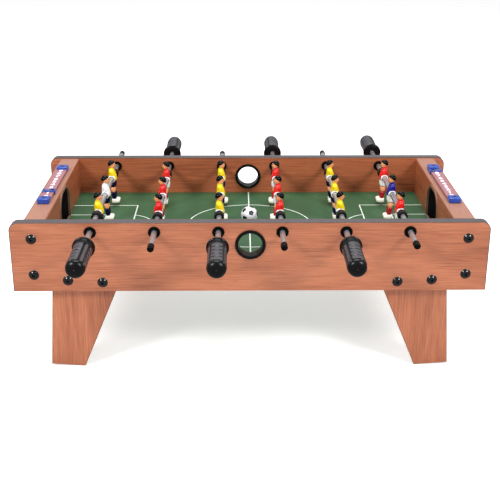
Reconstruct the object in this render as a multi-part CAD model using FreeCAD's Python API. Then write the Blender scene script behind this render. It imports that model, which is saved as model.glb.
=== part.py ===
import FreeCAD, Part
import math
import os

from FreeCAD import Vector

# Foosball table, in millimetres. X runs along the table from goal to goal, Y runs along the rods
# (the front is -Y) and Z is up. The origin is on the floor, midway between the four feet.

# Cabinet
table_length = 686.0
table_width = 350.0
table_height = 235.5
panel_thickness = 15.0
panel_height = 105.5
panel_corner_radius = 13.0
edging_thickness = 1.2
edging_rib_depth = 5.0
edging_rib_width = 2.0
end_board_thickness = 32.0
end_board_inset = 17.5
end_board_drop = 2.0
end_board_rounding = 3.0

# Playfield, held in grooves in the panels and the end boards
playfield_depth = 63.3
playfield_thickness = 5.0
groove_depth = 3.0
groove_clearance = 0.1

# Goals
goal_width = 80.0
goal_top_drop = 8.5
goal_corner_radius = 30.0
goal_wall = 2.0
goal_back_cover = 2.0
goal_floor_drop = 6.0
goal_rim_width = 2.5
goal_rim_thickness = 1.5

# Serve holes
serve_above_middle = 0.75
serve_ring_diameter = 44.0
serve_hole_diameter = 38.0
serve_bore_diameter = 34.5
serve_flange_thickness = 2.0

# Rods and what they run in
rod_count = 6
end_rod_to_board = 65.6
rod_drop = 15.0
rod_diameter = 8.0
rod_wall = 1.0
running_clearance = 0.05
fitting_clearance = 0.1
bushing_wall = 2.0
bushing_flange_width = 2.75
bushing_flange_thickness = 2.0
bushing_nut_width = 2.25
bushing_nut_thickness = 2.5
bumper_wall = 3.5
bumper_length = 12.0
bumper_from_player = 23.0
bumper_edge = 0.8

# How far each rod rests from the middle of its travel, towards the back
rod_offsets = [5.0, -2.0, 3.0, 2.0, 6.0, 6.0]

# Handles and end caps
handle_to_panel = 63.5
handle_length = 84.5
handle_flange_diameter = 31.5
handle_flange_thickness = 2.5
handle_grip_diameter = 27.0
handle_taper_length = 12.0
handle_wave_count = 6
handle_wave_depth = 0.7
handle_dome_length = 7.0
handle_dome_rounding = 5.5
handle_end_cover = 14.0
cap_tip_to_panel = 66.0
cap_length = 14.0
cap_wall = 0.8
cap_dome_height = 2.2
cap_end_cover = 3.0

# Players
outer_player_to_panel = 74.0
player_hub_radius = 7.0
player_hub_width = 20.0
player_torso_width = 22.0
player_leg_width = 15.0
player_shoe_width = 18.0
player_head_radius = 6.6
player_head_height = 23.6
player_shoulder_height = 18.5
player_foot_clearance = 5.2
player_toe_reach = 14.0

# Ball
ball_diameter = 27.0
ball_rest_x = 0.5
ball_gap = 0.1

# Legs: tapered boards that lean outwards and are cut square at the foot
leg_splay = 4.2
leg_thickness = 15.0
leg_foot_width = 50.5
leg_top_width = 105.0
leg_top_gap = 3.0
leg_end_gap = 3.4

# Bolts, nuts and cross dowels
bolt_diameter = 6.0
bolt_clearance = 0.25
bolt_head_diameter = 15.0
bolt_head_height = 4.0
bolt_socket_width = 4.0
bolt_socket_depth = 2.5
thread_clearance = 0.05
end_bolt_reach = 30.0
end_bolt_from_outside = 13.5
end_bolt_drops = [25.0, 80.0]
leg_bolt_end = 8.0
leg_bolt_from_board = [30.0, 79.7]
leg_bolt_drops = [89.0, 92.0]
nut_width = 10.0
nut_height = 5.0
nut_flange_diameter = 14.0
nut_flange_thickness = 1.2
dowel_diameter = 10.0
dowel_length = 19.5
dowel_recess = 0.5
dowel_slot_width = 1.5
dowel_slot_depth = 1.5
dowel_depth = 22.0

# Goal counters on the end boards
counter_rail_length = 149.0
counter_middle_y = 5.0
counter_rail_width = 17.0
counter_rail_thickness = 2.5
counter_web_width = 10.0
counter_web_height = 2.0
counter_block_length = 18.0
counter_block_width = 18.0
counter_block_height = 8.0
counter_slider_length = 12.0
counter_slider_width = 20.0
counter_slider_cover = 2.0
counter_slider_gap = 0.2
counter_rest_y = {"left": -36.0, "right": 69.0}
screw_diameter = 3.0
screw_head_diameter = 6.0
screw_length = 14.0
screw_slot_width = 0.8
screw_slot_depth = 0.8

# Worked out from the sizes above
half_length = table_length / 2
outer_y = table_width / 2
inner_y = outer_y - panel_thickness
panel_bottom = table_height - panel_height
field_top = table_height - playfield_depth
field_bottom = field_top - playfield_thickness
end_outer_x = half_length - end_board_inset
end_inner_x = end_outer_x - end_board_thickness
end_top = table_height - end_board_drop
goal_height = playfield_depth - goal_top_drop
goal_depth = end_board_thickness - goal_wall - goal_back_cover
serve_middle = field_top + (playfield_depth - edging_thickness - edging_rib_depth) / 2
serve_height = serve_middle + serve_above_middle
rod_height = table_height - rod_drop
rod_radius = rod_diameter / 2
rod_spacing = 2 * (end_inner_x - end_rod_to_board) / (rod_count - 1)
bushing_barrel_diameter = rod_diameter + 2 * bushing_wall
bushing_flange_diameter = bushing_barrel_diameter + 2 * bushing_flange_width
bushing_nut_diameter = bushing_barrel_diameter + 2 * bushing_nut_width
player_spacing = inner_y - outer_player_to_panel
player_foot_drop = playfield_depth - rod_drop - player_foot_clearance
bumper_diameter = rod_diameter + 2 * bumper_wall
bumper_centre = player_spacing + bumper_from_player
handle_start = outer_y + handle_to_panel
handle_socket_depth = handle_length - handle_end_cover
cap_tip = outer_y + cap_tip_to_panel
cap_diameter = rod_diameter + 2 * cap_wall
cap_socket_depth = cap_length - cap_end_cover
end_bolt_x = end_outer_x - end_bolt_from_outside
end_bolt_length = panel_thickness + end_bolt_reach
leg_bolt_length = panel_thickness + leg_thickness + leg_bolt_end
leg_bolt_points = [(end_inner_x - across, drop) for across, drop in zip(leg_bolt_from_board, leg_bolt_drops)]
leg_sine = math.sin(math.radians(leg_splay))
leg_cosine = math.cos(math.radians(leg_splay))
leg_foot_rise = leg_foot_width * leg_sine
leg_length = (field_bottom - leg_top_gap - leg_foot_rise) / leg_cosine
leg_lean = (panel_bottom - leg_foot_rise) / leg_cosine * leg_sine
leg_foot_x = end_inner_x - leg_end_gap - leg_foot_width * leg_cosine + leg_lean
counter_x = end_inner_x + end_board_thickness / 2
overshoot = 1.0

parts = {}


def box(x_low, x_high, y_low, y_high, z_low, z_high):
    return Part.makeBox(x_high - x_low, y_high - y_low, z_high - z_low, Vector(x_low, y_low, z_low))


def bar(radius, start, end):
    return Part.makeCylinder(radius, (end - start).Length, start, end - start)


def bar_along_y(radius, x, z, y_low, y_high):
    return bar(radius, Vector(x, y_low, z), Vector(x, y_high, z))


def hexagon_bar(width, start, end):
    corners = []
    for step in range(7):
        angle = math.radians(60 * step)
        corners.append(Vector(math.cos(angle), math.sin(angle), 0) * (width / math.sqrt(3)))
    prism = Part.Face(Part.makePolygon(corners)).extrude(Vector(0, 0, (end - start).Length))
    prism.Placement = FreeCAD.Placement(start, FreeCAD.Rotation(Vector(0, 0, 1), end - start))
    return prism


def side_profile(points, width):
    """A solid of the given X-Z outline, centred on Y."""
    corners = [Vector(x, -width / 2, z) for x, z in points]
    return Part.Face(Part.makePolygon(corners + corners[:1])).extrude(Vector(0, width, 0))


def turned(outline_edges):
    """A solid of revolution about Y from edges in the X-Y plane, X being the radius."""
    wire = Part.Wire(Part.__sortEdges__(outline_edges))
    return Part.Face(wire).revolve(Vector(0, 0, 0), Vector(0, 1, 0), 360)


def line(start, end):
    return Part.makeLine(Vector(start[0], start[1], 0), Vector(end[0], end[1], 0))


def arc(start, middle, end):
    ends = [Vector(point[0], point[1], 0) for point in (start, middle, end)]
    return Part.Arc(*ends).toShape()


def dome_arc(radius, start, tip):
    """A circular arc from the given radius down to the axis, square to the axis at its tip."""
    height = tip - start
    curve = (radius ** 2 + height ** 2) / (2 * height)
    middle = radius / 2
    return arc((radius, start), (middle, tip - curve + math.sqrt(curve ** 2 - middle ** 2)), (0, tip))


def mirrored_x(shape):
    return shape.mirror(Vector(0, 0, 0), Vector(1, 0, 0))


def mirrored_y(shape):
    return shape.mirror(Vector(0, 0, 0), Vector(0, 1, 0))


def four_corners(shape):
    front = [shape, mirrored_x(shape)]
    return front + [mirrored_y(each) for each in front]


def panel_outline(inset, y_low, y_high):
    """The side panel's outline moved in by inset at both ends and the top, as a slab."""
    reach = half_length - inset
    top = table_height - inset
    slab = box(-reach, reach, y_low, y_high, panel_bottom, top)
    radius = panel_corner_radius - inset
    if radius <= 0:
        return slab
    upper = [edge for edge in slab.Edges
             if all(vertex.Z > top - 0.01 for vertex in edge.Vertexes)
             and abs(edge.Vertexes[0].X - edge.Vertexes[1].X) < 0.01]
    return slab.makeFillet(radius, upper)


def edging_rib(extra):
    middle = -outer_y + panel_thickness / 2
    half_width = edging_rib_width / 2 + extra
    low, high = middle - half_width, middle + half_width
    outer = panel_outline(edging_thickness, low, high)
    inner = panel_outline(edging_thickness + edging_rib_depth + extra, low, high)
    return outer.cut(inner)


def rod_positions():
    return [(index - (rod_count - 1) / 2) * rod_spacing for index in range(rod_count)]


def build_panels():
    panel = panel_outline(edging_thickness, -outer_y, -inner_y).cut(edging_rib(groove_clearance))
    past = -outer_y - overshoot
    cuts = [bar_along_y(bushing_barrel_diameter / 2 + fitting_clearance, x, rod_height, past, 0)
            for x in rod_positions()]
    cuts.append(bar_along_y(serve_hole_diameter / 2, 0, serve_height, past, 0))
    hole_radius = bolt_diameter / 2 + bolt_clearance
    bolt_points = [(end_bolt_x, drop) for drop in end_bolt_drops] + leg_bolt_points
    for x, drop in bolt_points:
        for side in (-1, 1):
            cuts.append(bar_along_y(hole_radius, side * x, table_height - drop, past, 0))
    reach = end_inner_x + groove_depth + groove_clearance
    cuts.append(box(-reach, reach, -inner_y - groove_depth - groove_clearance, 0,
                    field_bottom - groove_clearance, field_top))
    for cut in cuts:
        panel = panel.cut(cut)
    edging = panel_outline(0, -outer_y, -inner_y)
    edging = edging.cut(panel_outline(edging_thickness, -outer_y, -inner_y))
    edging = edging.fuse(edging_rib(0)).removeSplitter()
    parts["front_side_panel"] = panel
    parts["back_side_panel"] = mirrored_y(panel)
    parts["front_panel_edging"] = edging
    parts["back_panel_edging"] = mirrored_y(edging)


def arch(half_width, corner, bottom, top, x_low, x_high):
    """A doorway shape seen along X: square at the bottom, rounded at the top."""
    slab = box(x_low, x_high, -half_width, half_width, bottom, top)
    upper = [edge for edge in slab.Edges
             if all(vertex.Z > top - 0.01 for vertex in edge.Vertexes)
             and abs(edge.Vertexes[0].Y - edge.Vertexes[1].Y) < 0.01]
    return slab.makeFillet(corner, upper)


def build_end_boards():
    board = box(end_inner_x, end_outer_x, -inner_y, inner_y, panel_bottom, end_top)
    upper = [edge for edge in board.Edges
             if all(vertex.Z > end_top - 0.01 for vertex in edge.Vertexes)
             and abs(edge.Vertexes[0].X - edge.Vertexes[1].X) < 0.01]
    board = board.makeFillet(end_board_rounding, upper)
    mouth = end_inner_x - overshoot
    board = board.cut(box(mouth, end_inner_x + groove_depth + groove_clearance, -inner_y, inner_y,
                          field_bottom - groove_clearance, field_top))
    board = board.cut(arch(goal_width / 2 + goal_wall, goal_corner_radius + goal_wall,
                           field_top - goal_floor_drop - goal_wall, field_top + goal_height + goal_wall,
                           mouth, end_inner_x + goal_depth + goal_wall))
    for side in (-1, 1):
        for drop in end_bolt_drops:
            z = table_height - drop
            bolt_hole = bar_along_y(bolt_diameter / 2 + bolt_clearance, end_bolt_x, z,
                                    inner_y - end_bolt_length + panel_thickness - overshoot, inner_y)
            dowel_y = inner_y - dowel_depth
            dowel_hole = bar(dowel_diameter / 2 + fitting_clearance,
                             Vector(end_outer_x - dowel_recess - dowel_length, dowel_y, z),
                             Vector(end_outer_x + overshoot, dowel_y, z))
            for hole in (bolt_hole, dowel_hole):
                board = board.cut(hole if side > 0 else mirrored_y(hole))
        screw_y = counter_middle_y + side * (counter_rail_length + counter_block_length) / 2
        board = board.cut(bar(screw_diameter / 2 + thread_clearance,
                              Vector(counter_x, screw_y, end_top + counter_block_height - screw_length),
                              Vector(counter_x, screw_y, end_top + overshoot)))
    parts["right_end_board"] = board
    parts["left_end_board"] = mirrored_x(board)


def build_playfield():
    reach_x = end_inner_x + groove_depth
    reach_y = inner_y + groove_depth
    field = box(-reach_x, reach_x, -reach_y, reach_y, field_bottom, field_top)
    notch_y = goal_width / 2 + goal_wall + goal_rim_width + groove_clearance
    for side in (-1, 1):
        near = side * (end_inner_x - goal_rim_thickness - groove_clearance)
        far = side * (reach_x + overshoot)
        field = field.cut(box(min(near, far), max(near, far), -notch_y, notch_y,
                              field_bottom - overshoot, field_top + overshoot))
    parts["playfield"] = field


def build_goal_pockets():
    half = goal_width / 2
    low = field_top - goal_floor_drop
    back = end_inner_x + goal_depth
    top = field_top + goal_height
    shell = arch(half + goal_wall - fitting_clearance, goal_corner_radius + goal_wall - fitting_clearance,
                 low - goal_wall + fitting_clearance, top + goal_wall - fitting_clearance,
                 end_inner_x, back + goal_wall - fitting_clearance)
    rim = arch(half + goal_wall + goal_rim_width, goal_corner_radius + goal_wall + goal_rim_width,
               low - goal_wall, top + goal_wall + goal_rim_width,
               end_inner_x - goal_rim_thickness, end_inner_x)
    mouth = arch(half, goal_corner_radius, field_top, top, end_inner_x - goal_rim_thickness - 1, back)
    hollow = arch(half, goal_corner_radius, low, top, end_inner_x + goal_wall, back)
    pocket = shell.fuse(rim).cut(mouth).cut(hollow).removeSplitter()
    parts["right_goal_pocket"] = pocket
    parts["left_goal_pocket"] = mirrored_x(pocket)


def build_serve_rings():
    middle = -outer_y + panel_thickness / 2
    halves = []
    for face, flange_edge in ((-outer_y, -outer_y - serve_flange_thickness),
                              (-inner_y, -inner_y + serve_flange_thickness)):
        flange = bar_along_y(serve_ring_diameter / 2, 0, serve_height,
                             min(face, flange_edge), max(face, flange_edge))
        sleeve = bar_along_y(serve_hole_diameter / 2 - fitting_clearance, 0, serve_height,
                             min(face, middle), max(face, middle))
        bore = bar_along_y(serve_bore_diameter / 2, 0, serve_height, -outer_y - 5, -inner_y + 5)
        halves.append(flange.fuse(sleeve).cut(bore).removeSplitter())
    ring = Part.makeCompound(halves)
    parts["front_serve_ring"] = ring
    parts["back_serve_ring"] = mirrored_y(ring)


def build_bushings():
    bushings = []
    nuts = []
    nut_end = -inner_y + bushing_nut_thickness
    for x in rod_positions():
        flange = bar_along_y(bushing_flange_diameter / 2, x, rod_height,
                             -outer_y - bushing_flange_thickness, -outer_y)
        barrel = bar_along_y(bushing_barrel_diameter / 2, x, rod_height, -outer_y, nut_end)
        bore = bar_along_y(rod_radius + running_clearance, x, rod_height, -outer_y - 5, nut_end + 5)
        bushing = flange.fuse(barrel).cut(bore).removeSplitter()
        nut = bar_along_y(bushing_nut_diameter / 2, x, rod_height, -inner_y, nut_end)
        thread_radius = bushing_barrel_diameter / 2 + thread_clearance
        nut = nut.cut(bar_along_y(thread_radius, x, rod_height, -inner_y, nut_end))
        bushings += [bushing, mirrored_y(bushing)]
        nuts += [nut, mirrored_y(nut)]
    parts["rod_bushings"] = Part.makeCompound(bushings)
    parts["bushing_nuts"] = Part.makeCompound(nuts)


def leg_bolt_heights():
    return [(x, table_height - drop) for x, drop in leg_bolt_points]


def build_legs():
    inner_top = leg_foot_width - leg_top_width
    outline = [(0, 0), (leg_foot_width, 0), (leg_foot_width, leg_length), (inner_top, leg_length)]
    leg = side_profile(outline, leg_thickness)
    leg.rotate(Vector(0, 0, 0), Vector(0, 1, 0), -leg_splay)
    leg.translate(Vector(leg_foot_x, -inner_y + leg_thickness / 2, 0))
    hole_radius = bolt_diameter / 2 + bolt_clearance
    for x, z in leg_bolt_heights():
        leg = leg.cut(bar_along_y(hole_radius, x, z, -outer_y, -inner_y + leg_thickness + overshoot))
    names = ["front_right_leg", "front_left_leg", "back_right_leg", "back_left_leg"]
    for name, each in zip(names, four_corners(leg)):
        parts[name] = each


def button_bolt(x, z, length):
    """A domed socket bolt whose head sits on the outside of the front panel."""
    head_radius = bolt_head_diameter / 2
    dome_radius = (head_radius ** 2 + bolt_head_height ** 2) / (2 * bolt_head_height)
    face = -outer_y
    dome = Part.makeSphere(dome_radius, Vector(x, face - bolt_head_height + dome_radius, z))
    head = dome.common(box(x - head_radius, x + head_radius, face - bolt_head_height, face,
                           z - head_radius, z + head_radius))
    shank = bar_along_y(bolt_diameter / 2, x, z, face, face + length)
    socket = hexagon_bar(bolt_socket_width, Vector(x, face - bolt_head_height - 1, z),
                         Vector(x, face - bolt_head_height + bolt_socket_depth, z))
    return head.fuse(shank).cut(socket)


def flange_nut(x, z):
    seat = -inner_y + leg_thickness
    flange = bar_along_y(nut_flange_diameter / 2, x, z, seat, seat + nut_flange_thickness)
    body = hexagon_bar(nut_width, Vector(x, seat, z), Vector(x, seat + nut_height, z))
    bore = bar_along_y(bolt_diameter / 2 + thread_clearance, x, z, seat - 1, seat + nut_height + 1)
    return flange.fuse(body).cut(bore)


def cross_dowel(z):
    y = -inner_y + dowel_depth
    end = end_outer_x - dowel_recess
    dowel = bar(dowel_diameter / 2, Vector(end - dowel_length, y, z), Vector(end, y, z))
    dowel = dowel.cut(bar_along_y(bolt_diameter / 2 + thread_clearance, end_bolt_x, z, y - 10, y + 10))
    return dowel.cut(box(end - dowel_slot_depth, end + 1, y - 10, y + 10,
                         z - dowel_slot_width / 2, z + dowel_slot_width / 2))


def build_fasteners():
    end_bolts = []
    leg_bolts = []
    nuts = []
    dowels = []
    for drop in end_bolt_drops:
        end_bolts += four_corners(button_bolt(end_bolt_x, table_height - drop, end_bolt_length))
        dowels += four_corners(cross_dowel(table_height - drop))
    for x, z in leg_bolt_heights():
        leg_bolts += four_corners(button_bolt(x, z, leg_bolt_length))
        nuts += four_corners(flange_nut(x, z))
    parts["end_board_bolts"] = Part.makeCompound(end_bolts)
    parts["leg_bolts"] = Part.makeCompound(leg_bolts)
    parts["leg_nuts"] = Part.makeCompound(nuts)
    parts["cross_dowels"] = Part.makeCompound(dowels)


def build_counters():
    rails = []
    blocks = []
    screws = []
    half_rail = counter_rail_length / 2
    for side in (-1, 1):
        x = side * counter_x
        web_top = end_top + counter_web_height
        plate_top = web_top + counter_rail_thickness
        rail_low = counter_middle_y - half_rail
        rail_high = counter_middle_y + half_rail
        web = box(x - counter_web_width / 2, x + counter_web_width / 2, rail_low, rail_high,
                  end_top, web_top)
        plate = box(x - counter_rail_width / 2, x + counter_rail_width / 2, rail_low, rail_high,
                    web_top, plate_top)
        rails.append(web.fuse(plate).removeSplitter())
        for end in (-1, 1):
            near = counter_middle_y + end * half_rail
            far = near + end * counter_block_length
            middle = Vector(x, (near + far) / 2, end_top + counter_block_height)
            block = box(x - counter_block_width / 2, x + counter_block_width / 2,
                        min(near, far), max(near, far), end_top, middle.z)
            countersink = Part.makeCone(screw_head_diameter / 2, screw_diameter / 2,
                                        (screw_head_diameter - screw_diameter) / 2, middle, Vector(0, 0, -1))
            shank = bar(screw_diameter / 2, middle, middle - Vector(0, 0, screw_length))
            hole = bar(screw_diameter / 2 + thread_clearance, middle, middle - Vector(0, 0, screw_length))
            blocks.append(block.cut(countersink).cut(hole))
            slot = box(x - 5, x + 5, middle.y - screw_slot_width / 2, middle.y + screw_slot_width / 2,
                       middle.z - screw_slot_depth, middle.z + 1)
            screws.append(countersink.fuse(shank).cut(slot))
    parts["counter_rails"] = Part.makeCompound(rails)
    parts["counter_end_blocks"] = Part.makeCompound(blocks)
    parts["counter_screws"] = Part.makeCompound(screws)
    for name, side in (("left", -1), ("right", 1)):
        parts[name + "_counter_slider"] = counter_slider(side * counter_x, counter_rest_y[name])


def counter_slider(x, y):
    """A clip that wraps over the counter's rail and hooks under both of its overhangs."""
    gap = counter_slider_gap
    plate_low = end_top + counter_web_height
    plate_high = plate_low + counter_rail_thickness
    half_length_y = counter_slider_length / 2
    half_width = counter_slider_width / 2
    clip = box(x - half_width, x + half_width, y - half_length_y, y + half_length_y,
               end_top + gap, plate_high + counter_slider_cover)
    half_plate = counter_rail_width / 2 + gap
    clip = clip.cut(box(x - half_plate, x + half_plate, y - 20, y + 20, plate_low - gap, plate_high + gap))
    half_web = counter_web_width / 2 + gap
    return clip.cut(box(x - half_web, x + half_web, y - 20, y + 20, end_top - 1, plate_low))


def player():
    """One player facing +X with the rod's axis at the origin."""
    hub = bar_along_y(player_hub_radius, 0, 0, -player_hub_width / 2, player_hub_width / 2)
    shoulder = player_shoulder_height
    torso = side_profile([(-6.5, -2), (-8, 8), (-7, shoulder - 3.5), (-4, shoulder), (4, shoulder),
                          (7, shoulder - 4.5), (7.5, 6), (6.5, -2)], player_torso_width)
    neck = bar(3.2, Vector(0, 0, shoulder - 1.5), Vector(0, 0, player_head_height - 3))
    head = Part.makeSphere(player_head_radius, Vector(0.3, 0, player_head_height))
    sole = -player_foot_drop
    knee = sole * 0.41
    shin = sole * 0.614
    legs = side_profile([(-5.5, -3), (-4, knee), (-2, shin), (-1.5, sole + 6), (6.5, sole + 6), (6.5, shin),
                         (7, knee), (6, -3)], player_leg_width)
    shoe = side_profile([(-2, sole + 8), (-2, sole - 1), (player_toe_reach, sole - 1),
                         (player_toe_reach, sole + 5), (7, sole + 8)], player_shoe_width)
    body = hub
    for piece in (torso, neck, head, legs, shoe):
        body = body.fuse(piece)
    # The sole follows the foot's swing, so that it clears a ball midway between two rods
    body = body.common(bar_along_y(player_foot_drop, 0, 0, -player_torso_width, player_torso_width))
    bore = bar_along_y(rod_radius + running_clearance, 0, 0, -20, 20)
    return body.cut(bore).removeSplitter()


def handle():
    """A waisted grip on the -Y end of the rod, with a flange towards the table."""
    grip = handle_grip_diameter / 2
    flange = handle_flange_diameter / 2
    taper_end = handle_taper_length
    dome_start = handle_length - handle_dome_length
    wave = (dome_start - taper_end) / handle_wave_count
    rim = handle_flange_thickness
    edges = [line((0, 0), (flange, 0)), line((flange, 0), (flange, rim)),
             arc((flange, rim), (grip + 0.3 * (flange - grip), rim + 0.3 * (taper_end - rim)),
                 (grip, taper_end))]
    for index in range(handle_wave_count):
        start = taper_end + index * wave
        edges.append(arc((grip, start), (grip - handle_wave_depth, start + wave / 2), (grip, start + wave)))
    inner = grip - handle_dome_rounding
    shoulder = dome_start + handle_dome_rounding
    slant = handle_dome_rounding * math.sqrt(0.5)
    edges.append(arc((grip, dome_start), (inner + slant, dome_start + slant), (inner, shoulder)))
    edges.append(dome_arc(inner, shoulder, handle_length))
    edges.append(line((0, handle_length), (0, 0)))
    grip_body = turned(edges)
    socket = bar(rod_radius + thread_clearance, Vector(0, -1, 0), Vector(0, handle_socket_depth, 0))
    body = grip_body.cut(socket)
    body.rotate(Vector(0, 0, 0), Vector(0, 0, 1), 180)
    body.translate(Vector(0, -handle_start, 0))
    return body


def end_cap():
    radius = cap_diameter / 2
    start = cap_tip - cap_length
    shoulder = cap_tip - cap_dome_height
    body = turned([line((0, start), (radius, start)), line((radius, start), (radius, shoulder)),
                   dome_arc(radius, shoulder, cap_tip), line((0, cap_tip), (0, start))])
    socket_end = Vector(0, start + cap_socket_depth, 0)
    socket = bar(rod_radius + thread_clearance, Vector(0, start - overshoot, 0), socket_end)
    return body.cut(socket)


def rod_tube():
    low = -handle_start - handle_socket_depth
    high = cap_tip - cap_length + cap_socket_depth
    outside = bar(rod_radius, Vector(0, low, 0), Vector(0, high, 0))
    return outside.cut(bar(rod_radius - rod_wall, Vector(0, low - 1, 0), Vector(0, high + 1, 0)))


def bumper(y):
    """A rubber sleeve with rounded ends."""
    outside = bar_along_y(bumper_diameter / 2, 0, 0, y - bumper_length / 2, y + bumper_length / 2)
    rims = [edge for edge in outside.Edges if abs(edge.BoundBox.YLength) < 0.01]
    outside = outside.makeFillet(bumper_edge, rims)
    bore = bar_along_y(rod_radius + running_clearance, 0, 0, y - bumper_length, y + bumper_length)
    return outside.cut(bore)


def moved_copy(shape, y):
    copy = shape.copy()
    copy.translate(Vector(0, y, 0))
    return copy


def build_rods():
    figure = player()
    outer_players = [moved_copy(figure, -player_spacing), moved_copy(figure, player_spacing)]
    bumpers = Part.makeCompound([bumper(-bumper_centre), bumper(bumper_centre)])
    for index, x in enumerate(rod_positions()):
        pieces = {"tube": rod_tube(), "handle": handle(), "end_cap": end_cap(), "bumpers": bumpers}
        if index in (0, rod_count - 1):
            pieces["players"] = Part.makeCompound(outer_players)
            pieces["goalkeeper"] = figure
        else:
            pieces["players"] = Part.makeCompound(outer_players + [figure])
        for name, shape in pieces.items():
            placed = shape.copy()
            if index % 2 == 1:
                placed.rotate(Vector(0, 0, 0), Vector(0, 0, 1), 180)
            placed.translate(Vector(x, rod_offsets[index], rod_height))
            parts["rod_" + str(index + 1) + "_" + name] = placed


def build_ball():
    centre = Vector(ball_rest_x, 0, field_top + ball_gap + ball_diameter / 2)
    parts["ball"] = Part.makeSphere(ball_diameter / 2, centre)


build_panels()
build_end_boards()
build_playfield()
build_goal_pockets()
build_serve_rings()
build_bushings()
build_legs()
build_fasteners()
build_counters()
build_rods()
build_ball()

os.makedirs("parts", exist_ok=True)
for name, shape in parts.items():
    if not shape.isValid():
        raise ValueError(name + " is not a valid shape")
    shape.exportStep("parts/" + name + ".step")
print(len(parts), "parts")
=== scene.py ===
import math

import bmesh
import bpy
from mathutils import Matrix, Vector


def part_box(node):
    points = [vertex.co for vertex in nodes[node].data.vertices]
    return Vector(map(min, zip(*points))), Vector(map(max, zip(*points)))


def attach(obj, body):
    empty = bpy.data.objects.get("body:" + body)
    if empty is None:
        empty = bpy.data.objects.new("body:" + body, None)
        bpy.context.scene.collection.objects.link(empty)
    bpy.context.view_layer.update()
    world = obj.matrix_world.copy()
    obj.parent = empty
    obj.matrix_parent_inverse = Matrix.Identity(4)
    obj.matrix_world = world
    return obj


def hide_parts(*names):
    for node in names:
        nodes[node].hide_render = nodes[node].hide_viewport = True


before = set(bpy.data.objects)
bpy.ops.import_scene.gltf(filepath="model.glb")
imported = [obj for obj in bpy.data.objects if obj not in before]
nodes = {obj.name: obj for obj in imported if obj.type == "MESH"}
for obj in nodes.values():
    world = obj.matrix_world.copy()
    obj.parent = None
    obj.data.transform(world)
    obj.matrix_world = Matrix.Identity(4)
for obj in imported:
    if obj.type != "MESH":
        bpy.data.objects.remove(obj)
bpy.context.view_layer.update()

scene = bpy.context.scene
ends = ("left", "right")


def paint(red, green, blue):
    # a screen colour as the linear values that Blender's sockets take
    def linear(value):
        value /= 255
        return value / 12.92 if value <= 0.04045 else ((value + 0.055) / 1.055) ** 2.4
    return (linear(red), linear(green), linear(blue), 1.0)


class Val:
    # one output socket that can stand in a sum
    def __init__(self, finish, socket):
        self.finish = finish
        self.socket = socket

    def sum(self, operation, *terms):
        return self.finish.node("ShaderNodeMath", {"operation": operation}, terms)

    def __add__(self, other):
        return self.sum("ADD", self, other)

    def __sub__(self, other):
        return self.sum("SUBTRACT", self, other)

    def __rsub__(self, other):
        return self.sum("SUBTRACT", other, self)

    def __mul__(self, other):
        return self.sum("MULTIPLY", self, other)

    def __lt__(self, other):
        return self.sum("LESS_THAN", self, other)

    def __gt__(self, other):
        return self.sum("GREATER_THAN", self, other)

    def __or__(self, other):
        return self.sum("MAXIMUM", self, other)

    def __pow__(self, other):
        return self.sum("POWER", self, other)

    def __abs__(self):
        return self.sum("ABSOLUTE", self)

    __radd__ = __add__
    __rmul__ = __mul__


class Finish:
    # a material whose plain values sit on the shader and whose patterns come from nodes
    def __init__(self, name, **plain):
        self.material = bpy.data.materials.new(name)
        self.material.use_nodes = True
        self.tree = self.material.node_tree
        self.shader = self.tree.nodes["Principled BSDF"]
        for label, value in plain.items():
            self.shader.inputs[label.replace("_", " ")].default_value = value
        self.place = self.node("ShaderNodeTexCoord", output="Object")

    def node(self, kind, settings=None, values=(), output=0):
        made = self.tree.nodes.new(kind)
        for label, value in (settings or {}).items():
            if label == "stops":
                stops = made.color_ramp.elements
                while len(stops) < len(value):
                    stops.new(0.5)
                for stop, (position, colour) in zip(stops, value):
                    stop.position = position
                    stop.color = colour
            else:
                setattr(made, label, value)
        pairs = values.items() if isinstance(values, dict) else enumerate(values)
        for key, value in pairs:
            if isinstance(value, Val):
                self.tree.links.new(value.socket, made.inputs[key])
            else:
                made.inputs[key].default_value = value
        return Val(self, made.outputs[output])

    def stretch(self, *factors):
        return self.node("ShaderNodeVectorMath", {"operation": "MULTIPLY"}, [self.place, factors])

    def noise(self, place, scale, detail=2.0, roughness=0.5, distortion=0.0):
        return self.node("ShaderNodeTexNoise", None,
                         {"Vector": place, "Scale": scale, "Detail": detail, "Roughness": roughness,
                          "Distortion": distortion})

    def ramp(self, factor, *stops):
        return self.node("ShaderNodeValToRGB", {"stops": stops}, [factor])

    def fade(self, value, low, high):
        return self.node("ShaderNodeMapRange", {"clamp": True}, [value, low, high])

    def mix(self, factor, first, second):
        # the numbers are the colour form's own sockets
        return self.node("ShaderNodeMix", {"data_type": "RGBA"}, {0: factor, 6: first, 7: second}, 2)

    def axes(self):
        split = self.node("ShaderNodeSeparateXYZ", None, [self.place])
        return [Val(self, out) for out in split.socket.node.outputs]

    def bump(self, height, distance):
        self.feed("Normal", self.node("ShaderNodeBump", None,
                                      {"Strength": 1.0, "Distance": distance, "Height": height}))

    def feed(self, label, value):
        self.tree.links.new(value.socket, self.shader.inputs[label])


# woodgrain laminates

# the three inside tones are painted shade and bounced light for faces inside the box, and top is a paler tone
# of painted light and sheen for the end boards' tops
woodLook = {"light": paint(184, 112, 76), "middle": paint(162, 93, 60), "dark": paint(127, 67, 39),
            "pore": paint(96, 50, 29), "shadedInsideLight": paint(190, 111, 72), "shadedInsideMiddle": paint(168, 92, 56),
            "shadedInsideDark": paint(128, 64, 38), "edge": paint(96, 50, 32), "top": paint(157, 116, 100),
            "run": 0.022, "cloudRun": 0.2, "fibre": 1700.0, "streak": 720.0, "cloud": 20.0,
            "contrast": (0.32, 0.68), "pores": (0.52, 0.7), "poreShare": 0.5, "litTopShare": 0.75,
            "relief": 0.00004}


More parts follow.
